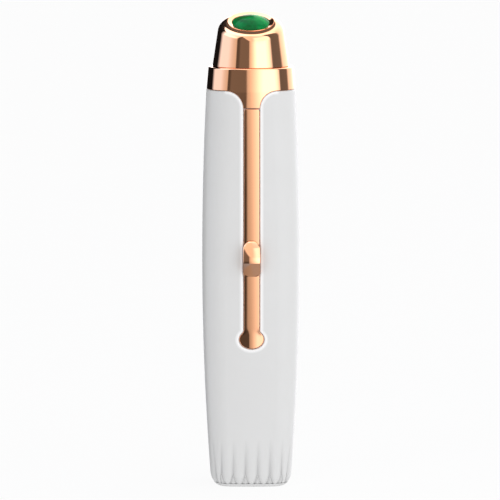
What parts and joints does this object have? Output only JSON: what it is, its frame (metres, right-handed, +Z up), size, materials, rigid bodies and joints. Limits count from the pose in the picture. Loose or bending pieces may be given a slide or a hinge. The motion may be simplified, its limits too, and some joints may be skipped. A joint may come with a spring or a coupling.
{
  "type": "eye massager wand",
  "caption": "Slim heated eye massager wand: white soft-square barrel with a reeded foot, rose-gold collar, cone head and inlay, thumb slider and a pressed green tip.",
  "frame": {"origin": "centre of the flat base, in the plane that it stands on", "axes": "+Z up along the barrel towards the head, -Y towards the thumb slider, +X to the right seen from the front"},
  "size_m": [0.0258, 0.0289, 0.1254],
  "materials": {
    "white_shell": "satin moulded",
    "rose_gold": "polished rose-gold plating",
    "green_stone": "polished translucent stone",
    "frame_plastic": "moulded",
    "white_holder": "moulded",
    "circuit_board": "solder mask",
    "black_plastic": "moulded",
    "steel": "plain",
    "copper_alloy": "plain",
    "silicone": "matte",
    "foam": "closed-cell foam",
    "cell_pouch": "laminated foil",
    "heater_ceramic": "matte",
    "sensor_bead": "resin",
    "led_resin": "clear resin",
    "lead_red": "silicone jacket",
    "lead_grey": "silicone jacket"
  },
  "bodies": {
    "handle": {"body_sleeve": "white_shell", "base_cap": "white_shell", "front_frame": "frame_plastic", "rear_frame": "frame_plastic", "frame_screws": "steel", "contact_strip": "rose_gold", "strip_contact": "copper_alloy", "collar": "rose_gold", "head_seal": "silicone", "head_shell": "rose_gold", "tip_bezel": "rose_gold", "head_mount": "white_holder", "mount_screws": "steel", "heater_ring": "heater_ceramic", "thermistor": "sensor_bead", "head_board": "circuit_board", "tip_led": "led_resin", "tact_switch": "black_plastic", "main_board": "circuit_board", "board_screws": "steel", "board_chips": "black_plastic", "usb_shell": "steel", "usb_insert": "black_plastic", "battery_cell": "cell_pouch", "battery_pad": "foam", "cell_board": "circuit_board", "battery_leads": "lead_red", "slide_switch": "steel", "motor_can": "steel", "motor_end_cap": "black_plastic", "motor_bush": "copper_alloy", "motor_boot": "silicone", "motor_leads": "lead_red", "head_leads": "lead_grey"},
    "slider": {"thumb_button": "rose_gold", "slider_carrier": "frame_plastic", "switch_lever": "black_plastic"},
    "tip": {"tip_gem": "green_stone", "gem_holder": "white_holder", "switch_plunger": "black_plastic"},
    "rotor": {"motor_shaft": "steel", "motor_armature": "copper_alloy", "eccentric_weight": "steel"}
  },
  "joints": [
    {"name": "mode_slide", "type": "slide", "parent": "handle", "child": "slider", "axis": [0, 0, 1], "range_m": [0, 0.003]},
    {"name": "tip_press", "type": "slide", "parent": "handle", "child": "tip", "axis": [0, 0.342, -0.9397], "range_m": [0, 0.0006], "stiffness_N_per_m": 2500, "springref_m": -0.0001},
    {"name": "motor_spin", "type": "hinge", "parent": "handle", "child": "rotor", "pos_m": [0, 0, 0.085], "axis": [0, 0, 1], "continuous": true}
  ]
}
